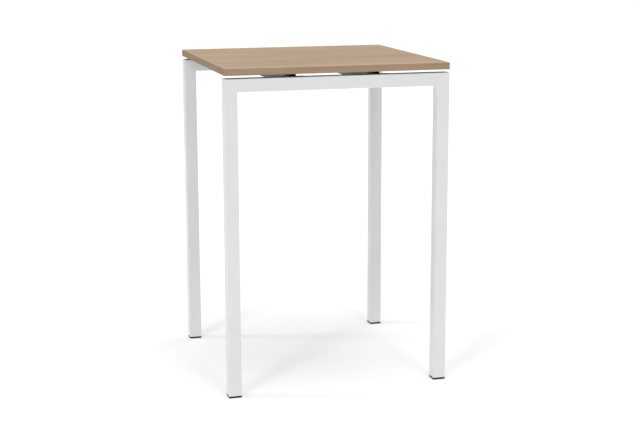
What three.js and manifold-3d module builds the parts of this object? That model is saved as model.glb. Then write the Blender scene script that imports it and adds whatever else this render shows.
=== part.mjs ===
// Standing meeting table: a square worktop that floats on spacers above two portal
// frames of square steel tube, tied together by two cross rails, on four levelling feet.
// Millimetres, +Z up. The origin is on the floor under the middle of the worktop, and
// the front of the table faces -Y.
import * as THREE from 'three';
import { mergeVertices } from 'three/addons/utils/BufferGeometryUtils.js';
import Module from 'manifold-3d';

const wasm = await Module();
wasm.setup();

// Worktop
const TABLE_HEIGHT = 1150; // floor to the worktop's upper face
const TOP_WIDTH = 800; // along X, edge bands included
const TOP_DEPTH = 800; // along Y, edge bands included
const TOP_THICKNESS = 25;
const BAND_THICKNESS = 2;
const BAND_ROUND = 1.5; // milled round along both long edges of a band

// Portal frames
const TUBE = 45; // square tube of legs and beams
const TUBE_WALL = 2;
const TUBE_ROUND = 3; // outer corner radius
const INNER_ROUND = 1; // inner corner radius of every tube
const MITRE_GAP = 0.3; // root gap of the welded corner
const SHADOW_GAP = 11; // frame to worktop

// Cross rails between the frames, and their bolted flanges
const RAIL_SPREAD = 300; // centre to centre along X
const RAIL_WIDTH = 25;
const RAIL_HEIGHT = 40; // centred on the beam
const RAIL_WALL = 2;
const FLANGE_WIDTH = 84;
const FLANGE_THICKNESS = 4;
const FLANGE_ROUND = 4;
const BOLT_SPREAD = 58; // the two bolts of one flange, centre to centre
const BOLT_DIAMETER = 8;
const BOLT_HEAD_DIAMETER = 14;
const BOLT_HEAD_HEIGHT = 4.4;
const BOLT_SOCKET = 5; // across flats
const NUT_BODY_DIAMETER = 11; // blind rivet nut in the beam's inner wall
const NUT_HEAD_DIAMETER = 15;
const NUT_HEAD = 0.8; // the flange bears on these heads
const NUT_BULGE_DIAMETER = 14.5;
const NUT_BULGE = 3.5;
const NUT_REACH = 15; // body length behind the beam's face

// Spacers and the screws that pull the worktop down on them
const SPACER_DIAMETER = 28;
const SPACER_EDGE = 1; // chamfer of both rims
const SPACER_SETBACK = 22; // spacer's axis behind the beam's inner face
const SCREW_DIAMETER = 6;
const SCREW_HEAD_DIAMETER = 12;
const SCREW_HEAD_HEIGHT = 3.5;
const SCREW_SOCKET = 4; // across flats
const SCREW_GRIP = 12; // reach into the worktop's insert nut
const INSERT_DIAMETER = 10;
const INSERT_LENGTH = 13;

// Levelling feet
const PAD_THICKNESS = 5;
const PAD_CHAMFER = 0.5;
const PAD_FLOOR = 1.2; // plastic under the screw's swivel disc
const PLUG_LIP = 1.5;
const PLUG_REACH = 32; // plug length inside the leg
const PLUG_CORE_INSET = 1.3; // core face to the leg's inner wall
const PLUG_RIBS = 3;
const PLUG_RIB = 2.4; // height of one gripping rib
const LEVEL_DIAMETER = 10; // levelling screw
const LEVEL_REACH = 30; // threaded length above the hexagon
const LEVEL_HEX = 17; // across flats
const LEVEL_HEX_HEIGHT = 5;
const DISC_DIAMETER = 13.4;
const DISC_HEIGHT = 2.5;
const SOCKET_LIP = 2; // holds the disc down in the pad
const BOSS_WALL = 3;

// Clearances
const RUNNING_GAP = 0.3; // between pieces that move past each other
const THREAD_GAP = 0.25; // radial, screw to threaded hole
const HOLE_GAP = 0.5; // radial, bolt to plain hole
const PRESS_GAP = 0.1; // radial, pressed piece to its bore
const SLIP_GAP = 0.3; // plug rib to the leg's inner wall

// Facets
const CORNER_STEPS = 2; // half the facets of a rounded corner
const TURNED_STEPS = 12; // of a small turned piece
const SWIVEL_STEPS = 20; // of a piece that turns in another
const CUT_MARGIN = 5; // how far a cutter runs past what it cuts

// Levels and places that follow from the sizes above
const FRAME_TOP = TABLE_HEIGHT - TOP_THICKNESS - SHADOW_GAP;
const PLUG_FOOT = PAD_THICKNESS + RUNNING_GAP;
const LEG_FOOT = PLUG_FOOT + PLUG_LIP;
const LEG_X = (TOP_WIDTH - TUBE) / 2;
const LEG_Y = (TOP_DEPTH - TUBE) / 2;
const RAIL_X = RAIL_SPREAD / 2;
const BEAM_FACE_Y = TOP_DEPTH / 2 - TUBE; // inner face of a beam
const FLANGE_FACE_Y = BEAM_FACE_Y - NUT_HEAD; // flange face on the rivet nuts
const RAIL_LENGTH = 2 * (FLANGE_FACE_Y - FLANGE_THICKNESS);
const SPACER_Y = BEAM_FACE_Y - SPACER_SETBACK;
const SPACER_HEIGHT = SHADOW_GAP + (TUBE - RAIL_HEIGHT) / 2; // rail to worktop

const SIDES = [{ name: 'left', x: -1 }, { name: 'right', x: 1 }];
const ENDS = [{ name: 'front', y: -1 }, { name: 'rear', y: 1 }];

const powderCoat = new THREE.MeshStandardMaterial({ color: 0xf1f1f0, roughness: 0.45, metalness: 0 });
const darkCoat = new THREE.MeshStandardMaterial({ color: 0x1a1a1a, roughness: 0.5, metalness: 0 });
const oakMelamine = new THREE.MeshStandardMaterial({ color: 0xc0a58c, roughness: 0.5, metalness: 0 });
const oakBand = new THREE.MeshStandardMaterial({ color: 0xa78d73, roughness: 0.5, metalness: 0 });
const blackPlastic = new THREE.MeshStandardMaterial({ color: 0x141414, roughness: 0.6, metalness: 0 });
const zincSteel = new THREE.MeshStandardMaterial({ color: 0xb9bcc0, roughness: 0.35, metalness: 1 });

// Closed geometry to a solid, with shared vertices merged and collapsed faces dropped.
function solid(geometry) {
  const bare = geometry.clone();
  bare.deleteAttribute('normal');
  bare.deleteAttribute('uv');
  const merged = mergeVertices(bare, 1e-4);
  const index = merged.index.array;
  const faces = [];
  for (let i = 0; i < index.length; i += 3) {
    const [a, b, c] = [index[i], index[i + 1], index[i + 2]];
    if (a !== b && b !== c && a !== c) faces.push(a, b, c);
  }
  return new wasm.Manifold(new wasm.Mesh({
    numProp: 3,
    vertProperties: merged.attributes.position.array,
    triVerts: new Uint32Array(faces),
  }));
}

// Solid to a flat-shaded geometry.
function surface(body) {
  const mesh = body.getMesh();
  const geometry = new THREE.BufferGeometry();
  geometry.setAttribute('position', new THREE.BufferAttribute(mesh.vertProperties, 3));
  geometry.setIndex(new THREE.BufferAttribute(mesh.triVerts, 1));
  const flat = geometry.toNonIndexed();
  flat.computeVertexNormals();
  return flat;
}

// A named piece at its place in the group that carries it.
function piece(group, name, body, material, x = 0, y = 0, z = 0) {
  const mesh = new THREE.Mesh(surface(body), material);
  mesh.name = name;
  mesh.position.set(x, y, z);
  group.add(mesh);
}

// Rectangle with round corners, centred on the origin.
function roundedRect(width, height, round) {
  const [w, h] = [width / 2, height / 2];
  const radius = Math.min(round, w, h);
  const shape = new THREE.Shape();
  shape.moveTo(w, -h + radius);
  shape.absarc(w - radius, h - radius, radius, 0, Math.PI / 2);
  shape.absarc(-w + radius, h - radius, radius, Math.PI / 2, Math.PI);
  shape.absarc(-w + radius, -h + radius, radius, Math.PI, 1.5 * Math.PI);
  shape.absarc(w - radius, -h + radius, radius, 1.5 * Math.PI, 2 * Math.PI);
  return shape;
}

function polygon(points) {
  return new THREE.Shape(points.map(([x, y]) => new THREE.Vector2(x, y)));
}

// Hexagon given by its size across flats.
function hexagon(acrossFlats) {
  const corner = acrossFlats / Math.sqrt(3);
  const turns = [0, 1, 2, 3, 4, 5].map((k) => (k * Math.PI) / 3);
  return polygon(turns.map((a) => [corner * Math.cos(a), corner * Math.sin(a)]));
}

// Shape pushed up from z = low by a height.
function prism(shape, height, low = 0) {
  const options = { depth: height, bevelEnabled: false, curveSegments: CORNER_STEPS };
  return solid(new THREE.ExtrudeGeometry(shape, options).translate(0, 0, low));
}

// Profile of [radius, height] points turned round Z, listed anticlockwise.
// A profile that leaves the axis is a ring, and is closed here.
function turned(profile, steps = TURNED_STEPS) {
  const onAxis = profile[0][0] === 0;
  const outline = onAxis ? profile : [...profile, profile[0]];
  const points = outline.map(([r, z]) => new THREE.Vector2(r, z));
  return solid(new THREE.LatheGeometry(points, steps).rotateX(Math.PI / 2));
}

function cylinder(radius, low, high, steps = TURNED_STEPS) {
  return turned([[0, low], [radius, low], [radius, high], [0, high]], steps);
}

// Square or oblong tube pushed along Z, centred.
function tube(width, height, wall, length) {
  const section = roundedRect(width, height, TUBE_ROUND);
  section.holes.push(roundedRect(width - 2 * wall, height - 2 * wall, INNER_ROUND));
  return prism(section, length, -length / 2);
}

// Prism that cuts the 45 degree corner of a portal frame. Its outline lies in the plane of
// the frame with the corner's tube axis at x = 0 and the frame's top at z = 0.
function mitreCutter(side, keepsLeg) {
  const step = (MITRE_GAP / 2) * Math.SQRT2;
  const drop = keepsLeg ? -step : step;
  const far = keepsLeg ? TUBE : -2 * TUBE;
  const outline = [
    [-TUBE * side, -1.5 * TUBE + drop],
    [TUBE * side, 0.5 * TUBE + drop],
    [TUBE * side, far],
    [-TUBE * side, far],
  ];
  return prism(polygon(outline), 2 * TUBE, -TUBE).rotate([90, 0, 0]);
}

// Tube with a mitred head, from the foot plug to the frame's top, origin on the floor.
function leg(side) {
  const length = FRAME_TOP - LEG_FOOT;
  const body = tube(TUBE, TUBE, TUBE_WALL, length).translate([0, 0, LEG_FOOT + length / 2]);
  return body.subtract(mitreCutter(side, true).translate([0, 0, FRAME_TOP]));
}

// Tube with both ends mitred, drilled for the rivet nuts.
// Origin in the middle of its length; inward is the way to the other frame.
function beam(inward) {
  let body = tube(TUBE, TUBE, TUBE_WALL, TOP_WIDTH).rotate([0, 90, 0]);
  for (const side of SIDES) {
    const cutter = mitreCutter(side.x, false);
    body = body.subtract(cutter.translate([side.x * LEG_X, 0, TUBE / 2]));
    for (const bolt of [-1, 1]) {
      const low = TUBE / 2 - TUBE_WALL - CUT_MARGIN;
      const nutHole = cylinder(NUT_BODY_DIAMETER / 2 + PRESS_GAP, low, TUBE / 2 + CUT_MARGIN);
      const place = [side.x * RAIL_X + (bolt * BOLT_SPREAD) / 2, 0, 0];
      body = body.subtract(nutHole.rotate([-90 * inward, 0, 0]).translate(place));
    }
  }
  return body;
}

// Panel with a blind bore for each insert nut, its lower face at z = 0.
function worktopPanel() {
  const width = TOP_WIDTH - 2 * BAND_THICKNESS;
  const depth = TOP_DEPTH - 2 * BAND_THICKNESS;
  const boreDepth = Math.max(INSERT_LENGTH, SCREW_GRIP) + HOLE_GAP;
  let body = prism(roundedRect(width, depth, 0), TOP_THICKNESS);
  for (const side of SIDES) {
    for (const end of ENDS) {
      const bore = cylinder(INSERT_DIAMETER / 2 + PRESS_GAP, -CUT_MARGIN, boreDepth);
      body = body.subtract(bore.translate([side.x * RAIL_X, end.y * SPACER_Y, 0]));
    }
  }
  return body;
}

// Edge band of a length along X, its glued face at y = 0 and its show face towards -Y,
// with both long edges milled round.
function edgeBand(length) {
  const round = Math.min(BAND_ROUND, BAND_THICKNESS);
  const shape = new THREE.Shape();
  shape.moveTo(0, 0);
  shape.lineTo(0, TOP_THICKNESS);
  shape.absarc(-BAND_THICKNESS + round, TOP_THICKNESS - round, round, Math.PI / 2, Math.PI);
  shape.absarc(-BAND_THICKNESS + round, round, round, Math.PI, 1.5 * Math.PI);
  return prism(shape, length, -length / 2).rotate([90, 0, 90]);
}

// Flange plate in the XZ plane, y from 0 to its thickness, drilled for two bolts.
function railFlange() {
  let plate = prism(roundedRect(FLANGE_WIDTH, TUBE, FLANGE_ROUND), FLANGE_THICKNESS);
  for (const bolt of [-1, 1]) {
    const hole = cylinder(BOLT_DIAMETER / 2 + HOLE_GAP, -CUT_MARGIN, FLANGE_THICKNESS + CUT_MARGIN);
    plate = plate.subtract(hole.translate([(bolt * BOLT_SPREAD) / 2, 0, 0]));
  }
  return plate.rotate([-90, 0, 0]);
}

// Blind rivet nut with its upset bulge, axis Z, its head's seat at z = 0 and its mouth up.
function rivetNut() {
  const bore = BOLT_DIAMETER / 2 + THREAD_GAP;
  const body = NUT_BODY_DIAMETER / 2;
  const bulge = NUT_BULGE_DIAMETER / 2;
  const head = NUT_HEAD_DIAMETER / 2;
  return turned([
    [bore, -NUT_REACH],
    [body, -NUT_REACH],
    [body, -TUBE_WALL - NUT_BULGE],
    [bulge, -TUBE_WALL - NUT_BULGE / 2],
    [bulge, -TUBE_WALL],
    [body, -TUBE_WALL],
    [body, 0],
    [head, 0],
    [head, NUT_HEAD],
    [bore, NUT_HEAD],
  ]);
}

// Button-head socket screw, axis Z, the head's seat at z = 0 and the shank down.
function socketScrew(diameter, length, headDiameter, headHeight, socket) {
  const [shank, head] = [diameter / 2, headDiameter / 2];
  const tip = 0.8 * shank;
  const body = turned([
    [0, -length],
    [tip, -length],
    [shank, -length + (shank - tip)],
    [shank, 0],
    [head, 0],
    [head, headHeight * 0.4],
    [head * 0.7, headHeight],
    [0, headHeight],
  ]);
  return body.subtract(prism(hexagon(socket), headHeight, headHeight * 0.4));
}

// Cross rail drilled through for the worktop screws, along Y and centred.
function railTube() {
  let body = tube(RAIL_WIDTH, RAIL_HEIGHT, RAIL_WALL, RAIL_LENGTH).rotate([90, 0, 0]);
  for (const end of ENDS) {
    const hole = cylinder(SCREW_DIAMETER / 2 + HOLE_GAP, -TUBE, TUBE);
    body = body.subtract(hole.translate([0, end.y * SPACER_Y, 0]));
  }
  return body;
}

// Moulded round spacer with a hole for the worktop screw, its foot at z = 0.
function spacer() {
  const bore = SCREW_DIAMETER / 2 + HOLE_GAP;
  const rim = SPACER_DIAMETER / 2;
  return turned([
    [bore, 0],
    [rim - SPACER_EDGE, 0],
    [rim, SPACER_EDGE],
    [rim, SPACER_HEIGHT - SPACER_EDGE],
    [rim - SPACER_EDGE, SPACER_HEIGHT],
    [bore, SPACER_HEIGHT],
  ], SWIVEL_STEPS);
}

// Threaded sleeve pressed into the worktop, its mouth at z = 0.
function insertNut() {
  const bore = SCREW_DIAMETER / 2 + THREAD_GAP;
  const body = INSERT_DIAMETER / 2;
  return turned([[bore, 0], [body, 0], [body, INSERT_LENGTH], [bore, INSERT_LENGTH]]);
}

// Heights in the levelling foot, from the floor.
const DISC_LOW = PAD_FLOOR + RUNNING_GAP;
const DISC_HIGH = DISC_LOW + DISC_HEIGHT;
const BOSS_TOP = DISC_HIGH + RUNNING_GAP + SOCKET_LIP;
const HEX_LOW = BOSS_TOP + RUNNING_GAP;
const HEX_HIGH = HEX_LOW + LEVEL_HEX_HEIGHT;
const BOSS_RADIUS = DISC_DIAMETER / 2 + RUNNING_GAP + BOSS_WALL;
const HEX_CORNER = LEVEL_HEX / Math.sqrt(3);

// Square glide pad with a swivel socket for the levelling screw's disc.
function glidePad() {
  const options = {
    depth: PAD_THICKNESS - 2 * PAD_CHAMFER,
    bevelThickness: PAD_CHAMFER,
    bevelSize: PAD_CHAMFER,
    bevelSegments: 1,
    curveSegments: CORNER_STEPS,
  };
  const outline = roundedRect(TUBE - 2 * PAD_CHAMFER, TUBE - 2 * PAD_CHAMFER, TUBE_ROUND - PAD_CHAMFER);
  const plate = solid(new THREE.ExtrudeGeometry(outline, options).translate(0, 0, PAD_CHAMFER));
  const boss = cylinder(BOSS_RADIUS, PAD_FLOOR, BOSS_TOP, SWIVEL_STEPS);
  const chamber = DISC_DIAMETER / 2 + RUNNING_GAP;
  const neck = LEVEL_DIAMETER / 2 + RUNNING_GAP;
  const socket = turned([
    [0, PAD_FLOOR],
    [chamber, PAD_FLOOR],
    [chamber, DISC_HIGH + RUNNING_GAP],
    [neck, DISC_HIGH + RUNNING_GAP],
    [neck, BOSS_TOP + CUT_MARGIN],
    [0, BOSS_TOP + CUT_MARGIN],
  ], SWIVEL_STEPS);
  return plate.add(boss).subtract(socket);
}

// Levelling screw: swivel disc, neck, spanner hexagon and threaded shank.
function levellingScrew() {
  const shank = LEVEL_DIAMETER / 2;
  const top = HEX_HIGH + LEVEL_REACH;
  const spindle = turned([
    [0, DISC_LOW],
    [DISC_DIAMETER / 2, DISC_LOW],
    [DISC_DIAMETER / 2, DISC_HIGH],
    [shank, DISC_HIGH],
    [shank, top - shank / 4],
    [shank * 0.75, top],
    [0, top],
  ], SWIVEL_STEPS);
  return spindle.add(prism(hexagon(LEVEL_HEX), LEVEL_HEX_HEIGHT, HEX_LOW));
}

// Ribbed plug in the leg's open end, with a lip under the tube, a recess for the
// hexagon and a threaded bore.
function footPlug() {
  const inside = TUBE - 2 * TUBE_WALL;
  const core = inside - 2 * PLUG_CORE_INSET;
  const grip = inside - 2 * SLIP_GAP;
  let body = prism(roundedRect(TUBE, TUBE, TUBE_ROUND), PLUG_LIP, PLUG_FOOT);
  body = body.add(prism(roundedRect(core, core, INNER_ROUND), PLUG_LIP + PLUG_REACH, PLUG_FOOT));
  for (let k = 0; k < PLUG_RIBS; k += 1) {
    const low = LEG_FOOT + ((k + 0.5) * PLUG_REACH) / PLUG_RIBS - PLUG_RIB / 2;
    body = body.add(prism(roundedRect(grip, grip, INNER_ROUND), PLUG_RIB, low));
  }
  const recess = Math.max(BOSS_RADIUS, HEX_CORNER) + HOLE_GAP;
  const thread = LEVEL_DIAMETER / 2 + THREAD_GAP;
  const cut = turned([
    [0, PLUG_FOOT - CUT_MARGIN],
    [recess, PLUG_FOOT - CUT_MARGIN],
    [recess, HEX_HIGH + RUNNING_GAP],
    [thread, HEX_HIGH + RUNNING_GAP],
    [thread, LEG_FOOT + PLUG_REACH + CUT_MARGIN],
    [0, LEG_FOOT + PLUG_REACH + CUT_MARGIN],
  ], SWIVEL_STEPS);
  return body.subtract(cut);
}

// Worktop: panel and four edge bands, the side bands between the front and rear ones.
function worktop() {
  const group = new THREE.Group();
  group.position.z = TABLE_HEIGHT - TOP_THICKNESS;
  piece(group, 'worktop_panel', worktopPanel(), oakMelamine);
  for (const end of ENDS) {
    const band = edgeBand(TOP_WIDTH).rotate([0, 0, end.y < 0 ? 0 : 180]);
    const y = end.y * (TOP_DEPTH / 2 - BAND_THICKNESS);
    piece(group, `edge_band_${end.name}`, band, oakBand, 0, y);
  }
  for (const side of SIDES) {
    const band = edgeBand(TOP_DEPTH - 2 * BAND_THICKNESS).rotate([0, 0, 90 * side.x]);
    const x = side.x * (TOP_WIDTH / 2 - BAND_THICKNESS);
    piece(group, `edge_band_${side.name}`, band, oakBand, x);
  }
  return group;
}

// Portal frame at one end: two legs and a beam.
function portalFrame(end) {
  const group = new THREE.Group();
  group.position.y = end.y * LEG_Y;
  piece(group, `${end.name}_beam`, beam(-end.y), powderCoat, 0, 0, FRAME_TOP - TUBE / 2);
  for (const side of SIDES) {
    piece(group, `${end.name}_${side.name}_leg`, leg(side.x), powderCoat, side.x * LEG_X);
  }
  return group;
}

// Cross rail with a flange at each end, bolted into rivet nuts in the beams, and with the
// spacers and screws that hold the worktop.
function crossRail(side) {
  const group = new THREE.Group();
  group.position.set(side.x * RAIL_X, 0, FRAME_TOP - TUBE / 2);
  piece(group, `${side.name}_cross_rail`, railTube(), darkCoat);
  const boltLength = FLANGE_THICKNESS + NUT_HEAD + NUT_REACH;
  const screwLength = RAIL_HEIGHT + SPACER_HEIGHT + SCREW_GRIP;
  for (const end of ENDS) {
    const at = `${end.name}_${side.name}`;
    const flangeY = (end.y * RAIL_LENGTH) / 2;
    const spacerY = end.y * SPACER_Y;
    const inward = [90 * end.y, 0, 0]; // turns +Z towards the middle of the rail
    const flange = railFlange().rotate([0, 0, end.y > 0 ? 0 : 180]);
    piece(group, `${at}_rail_flange`, flange, darkCoat, 0, flangeY);
    for (const [label, bolt] of [['a', -1], ['b', 1]]) {
      const x = (bolt * BOLT_SPREAD) / 2;
      const bolted = socketScrew(
        BOLT_DIAMETER, boltLength, BOLT_HEAD_DIAMETER, BOLT_HEAD_HEIGHT, BOLT_SOCKET);
      piece(group, `${at}_rail_bolt_${label}`, bolted.rotate(inward), zincSteel, x, flangeY);
      piece(group, `${at}_rivet_nut_${label}`, rivetNut().rotate(inward), zincSteel, x, end.y * BEAM_FACE_Y);
    }
    const screw = socketScrew(
      SCREW_DIAMETER, screwLength, SCREW_HEAD_DIAMETER, SCREW_HEAD_HEIGHT, SCREW_SOCKET);
    piece(group, `${at}_spacer`, spacer(), blackPlastic, 0, spacerY, RAIL_HEIGHT / 2);
    piece(group, `${at}_worktop_screw`, screw.rotate([180, 0, 0]), zincSteel, 0, spacerY, -RAIL_HEIGHT / 2);
    piece(group, `${at}_insert_nut`, insertNut(), zincSteel, 0, spacerY, RAIL_HEIGHT / 2 + SPACER_HEIGHT);
  }
  return group;
}

// Levelling foot under one leg.
function levellingFoot(end, side) {
  const group = new THREE.Group();
  group.position.set(side.x * LEG_X, end.y * LEG_Y, 0);
  const at = `${end.name}_${side.name}`;
  piece(group, `${at}_foot_plug`, footPlug(), blackPlastic);
  piece(group, `${at}_glide_pad`, glidePad(), blackPlastic);
  piece(group, `${at}_levelling_screw`, levellingScrew(), zincSteel);
  return group;
}

const table = new THREE.Group();
table.add(worktop());
for (const end of ENDS) table.add(portalFrame(end));
for (const side of SIDES) table.add(crossRail(side));
for (const end of ENDS) {
  for (const side of SIDES) table.add(levellingFoot(end, side));
}

export default table;
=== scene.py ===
"""Standing meeting table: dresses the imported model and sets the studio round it."""
import logging
import math
from dataclasses import dataclass, fields
from enum import Enum

import bmesh
import bpy
from mathutils import Matrix, Vector


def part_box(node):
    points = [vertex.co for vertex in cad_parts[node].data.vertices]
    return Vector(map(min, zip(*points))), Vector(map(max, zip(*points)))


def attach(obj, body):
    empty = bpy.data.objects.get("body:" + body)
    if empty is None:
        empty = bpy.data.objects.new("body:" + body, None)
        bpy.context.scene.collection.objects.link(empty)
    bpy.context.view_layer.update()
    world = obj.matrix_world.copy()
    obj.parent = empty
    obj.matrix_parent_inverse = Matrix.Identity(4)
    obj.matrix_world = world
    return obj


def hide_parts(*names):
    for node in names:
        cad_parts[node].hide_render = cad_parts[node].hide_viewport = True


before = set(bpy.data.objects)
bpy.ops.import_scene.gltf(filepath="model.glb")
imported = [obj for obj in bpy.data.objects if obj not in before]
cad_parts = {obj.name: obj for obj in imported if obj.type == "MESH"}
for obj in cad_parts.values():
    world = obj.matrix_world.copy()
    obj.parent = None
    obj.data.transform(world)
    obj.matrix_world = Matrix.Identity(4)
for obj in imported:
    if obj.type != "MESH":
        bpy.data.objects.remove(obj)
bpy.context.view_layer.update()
LOG = logging.getLogger("standing_table")

Rgb = tuple[float, float, float]
Point = tuple[float, float]
Ring = list[Vector]
Seat = tuple[Vector, Vector]
SocketList = list[tuple[str, str]]

MM = 0.001
QUARTER_TURN = math.pi / 2
WHITE: Rgb = (1.0, 1.0, 1.0)
NUMBER = "NodeSocketFloat"
TABLE_BODY = "table"


class End(Enum):
    """The two portal frames, by the table end that they carry."""

    FRONT = "front"
    REAR = "rear"


class Side(Enum):
    """The two sides of the table, seen from the front."""

    LEFT = "left"
    RIGHT = "right"


class Corner(Enum):
    """The four corners of the table, each by its end and side."""

    FRONT_LEFT = (End.FRONT, Side.LEFT)
    FRONT_RIGHT = (End.FRONT, Side.RIGHT)
    REAR_LEFT = (End.REAR, Side.LEFT)
    REAR_RIGHT = (End.REAR, Side.RIGHT)

    def __init__(self, end: End, side: Side) -> None:
        """Names the corner.

        Args:
            end: The portal frame that it belongs to.
            side: The side of the table that it is on.
        """
        self.end = end
        self.side = side
        self.label = f"{end.value}_{side.value}"


class Run(Enum):
    """The way that a band and its grain run."""

    ALONG_X = "x"
    ALONG_Y = "y"


# Node trees


@dataclass(frozen=True)
class NoiseLayer:
    """One noise pattern of the wood figure.

    scale is in waves per metre along X, Y and Z, detail counts octaves, and bend is how far the
    pattern is distorted. A mask made from it rises from the value low to the value high.
    """

    scale: tuple[float, float, float]
    detail: float
    bend: float = 0.0
    low: float = 0.3
    high: float = 0.7


class Wiring:
    """Adds nodes to a tree and links them, left to right."""

    SPACING = 190.0
    # First input, second input and output of a mix, by number because their names repeat.
    MIX_SOCKETS = {"FLOAT": (2, 3, 0), "RGBA": (6, 7, 2)}

    def __init__(self, tree: bpy.types.NodeTree) -> None:
        """Takes the tree that the nodes go into.

        Args:
            tree: The tree.
        """
        self.tree = tree
        self.column = 0

    def add(self, kind: str, feeds: dict[str | int, object] | None = None,
            **settings: object) -> bpy.types.Node:
        """Adds a node.

        Args:
            kind: The node's type name.
            feeds: What each of its inputs is fed with, by the input's name or number.
            **settings: Attributes to set on it.

        Returns:
            The new node.
        """
        node = self.tree.nodes.new(kind)
        node.location = (self.column * self.SPACING, 0.0)
        self.column += 1
        for key, value in settings.items():
            setattr(node, key, value)
        for key, source in (feeds or {}).items():
            self.feed(node.inputs[key], source)
        return node

    def feed(self, socket: bpy.types.NodeSocket, source: object) -> None:
        """Links a socket to another one, or sets its value.

        Args:
            socket: The input that is fed.
            source: An output socket, or the value that the input takes.
        """
        if isinstance(source, bpy.types.NodeSocket):
            self.tree.links.new(source, socket)
        else:
            socket.default_value = source

    def math(self, operation: str, first: object, second: object) -> bpy.types.NodeSocket:
        """Adds a math node.

        Args:
            operation: What it does, such as MULTIPLY.
            first: Its first operand, a socket or a number.
            second: Its second operand.

        Returns:
            The node's output.
        """
        return self.add("ShaderNodeMath", {0: first, 1: second}, operation=operation).outputs[0]

    def remap(self, value: object, low: float, high: float, out_low: float = 0.0,
              out_high: float = 1.0, curve: str = "SMOOTHSTEP") -> bpy.types.NodeSocket:
        """Maps a range of values to another one, clamped.

        Args:
            value: The socket that is mapped.
            low: Where the input range starts.
            high: Where it ends.
            out_low: What the start maps to.
            out_high: What the end maps to.
            curve: How the values between them are mapped.

        Returns:
            The mapped value.
        """
        feeds = dict(enumerate((value, low, high, out_low, out_high)))
        return self.add("ShaderNodeMapRange", feeds, interpolation_type=curve).outputs[0]

    def mix(self, factor: object, first: object, second: object,
            kind: str = "RGBA") -> bpy.types.NodeSocket:
        """Mixes two colours or two numbers.

        Args:
            factor: How much of the second one shows.
            first: The first one, a socket or its value.
            second: The second one.
            kind: The data type, RGBA or FLOAT.

        Returns:
            The mixed colour or number.
        """
        one, other, out = self.MIX_SOCKETS[kind]
        feeds = {0: factor, one: first, other: second}
        return self.add("ShaderNodeMix", feeds, data_type=kind).outputs[out]

    def noise(self, vector: object, layer: NoiseLayer) -> bpy.types.NodeSocket:
        """Adds a noise pattern that can be stretched along an axis.

        Args:
            vector: The coordinates.
            layer: The pattern's values.

        Returns:
            The noise value, about 0 to 1.
        """
        stretch = self.add("ShaderNodeMapping", {"Vector": vector, "Scale": layer.scale})
        pattern = self.add("ShaderNodeTexNoise", {
            "Vector": stretch.outputs[0], "Scale": 1.0,
            "Detail": layer.detail, "Distortion": layer.bend,
        })
        return pattern.outputs["Fac"]


def shader_group(name: str, inputs: SocketList, outputs: SocketList) -> bpy.types.NodeTree:
    """Makes an empty shader node group with named sockets.

    Args:
        name: The group's name.
        inputs: Name and socket type of each input.
        outputs: Name and socket type of each output.

    Returns:
        The group's tree.
    """
    tree = bpy.data.node_groups.new(name, "ShaderNodeTree")
    for in_out, sockets in (("INPUT", inputs), ("OUTPUT", outputs)):
        for label, kind in sockets:
            tree.interface.new_socket(label, in_out=in_out, socket_type=kind)
    return tree


SKIN_OCTAVES = {"Grain": 2.0, "Cloud": 4.0}
CLOUD_RANGE = (0.3, 0.7)


def fine_skin_group() -> bpy.types.NodeTree:
    """Makes the group for the fine skin of a coating, a moulding or a plated face.

    Returns:
        A tree that gives a small height and a slow change over the surface.
    """
    tree = shader_group(
        "fine_skin",
        [("Vector", "NodeSocketVector"), ("Grain per metre", NUMBER), ("Cloud per metre", NUMBER)],
        [("Height", NUMBER), ("Cloud", NUMBER)],
    )
    wires = Wiring(tree)
    entry = wires.add("NodeGroupInput")
    patterns: dict[str, bpy.types.NodeSocket] = {}
    for label, octaves in SKIN_OCTAVES.items():
        noise = wires.add("ShaderNodeTexNoise", {
            "Vector": entry.outputs["Vector"], "Scale": entry.outputs[f"{label} per metre"],
            "Detail": octaves,
        })
        patterns[label] = noise.outputs["Fac"]
    cloud = wires.remap(patterns["Cloud"], *CLOUD_RANGE)
    wires.add("NodeGroupOutput", {"Height": patterns["Grain"], "Cloud": cloud})
    return tree


SWAY = NoiseLayer((1.3, 4.0, 4.0), 2.0)
SWAY_MIDDLE = 0.5
SWAY_REACH = 0.09
BROAD = NoiseLayer((1.1, 11.0, 11.0), 4.0, bend=0.4, low=0.38, high=0.62)
BROAD_SHARE = 0.6
NARROW = NoiseLayer((2.6, 75.0, 75.0), 3.0, bend=0.3)
VEIN = NoiseLayer((1.6, 62.0, 62.0), 2.0, bend=0.5, low=0.60, high=0.74)
PORE = NoiseLayer((26.0, 900.0, 900.0), 2.0, low=0.56, high=0.72)
TONE = NoiseLayer((0.8, 3.2, 3.2), 2.0)


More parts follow.
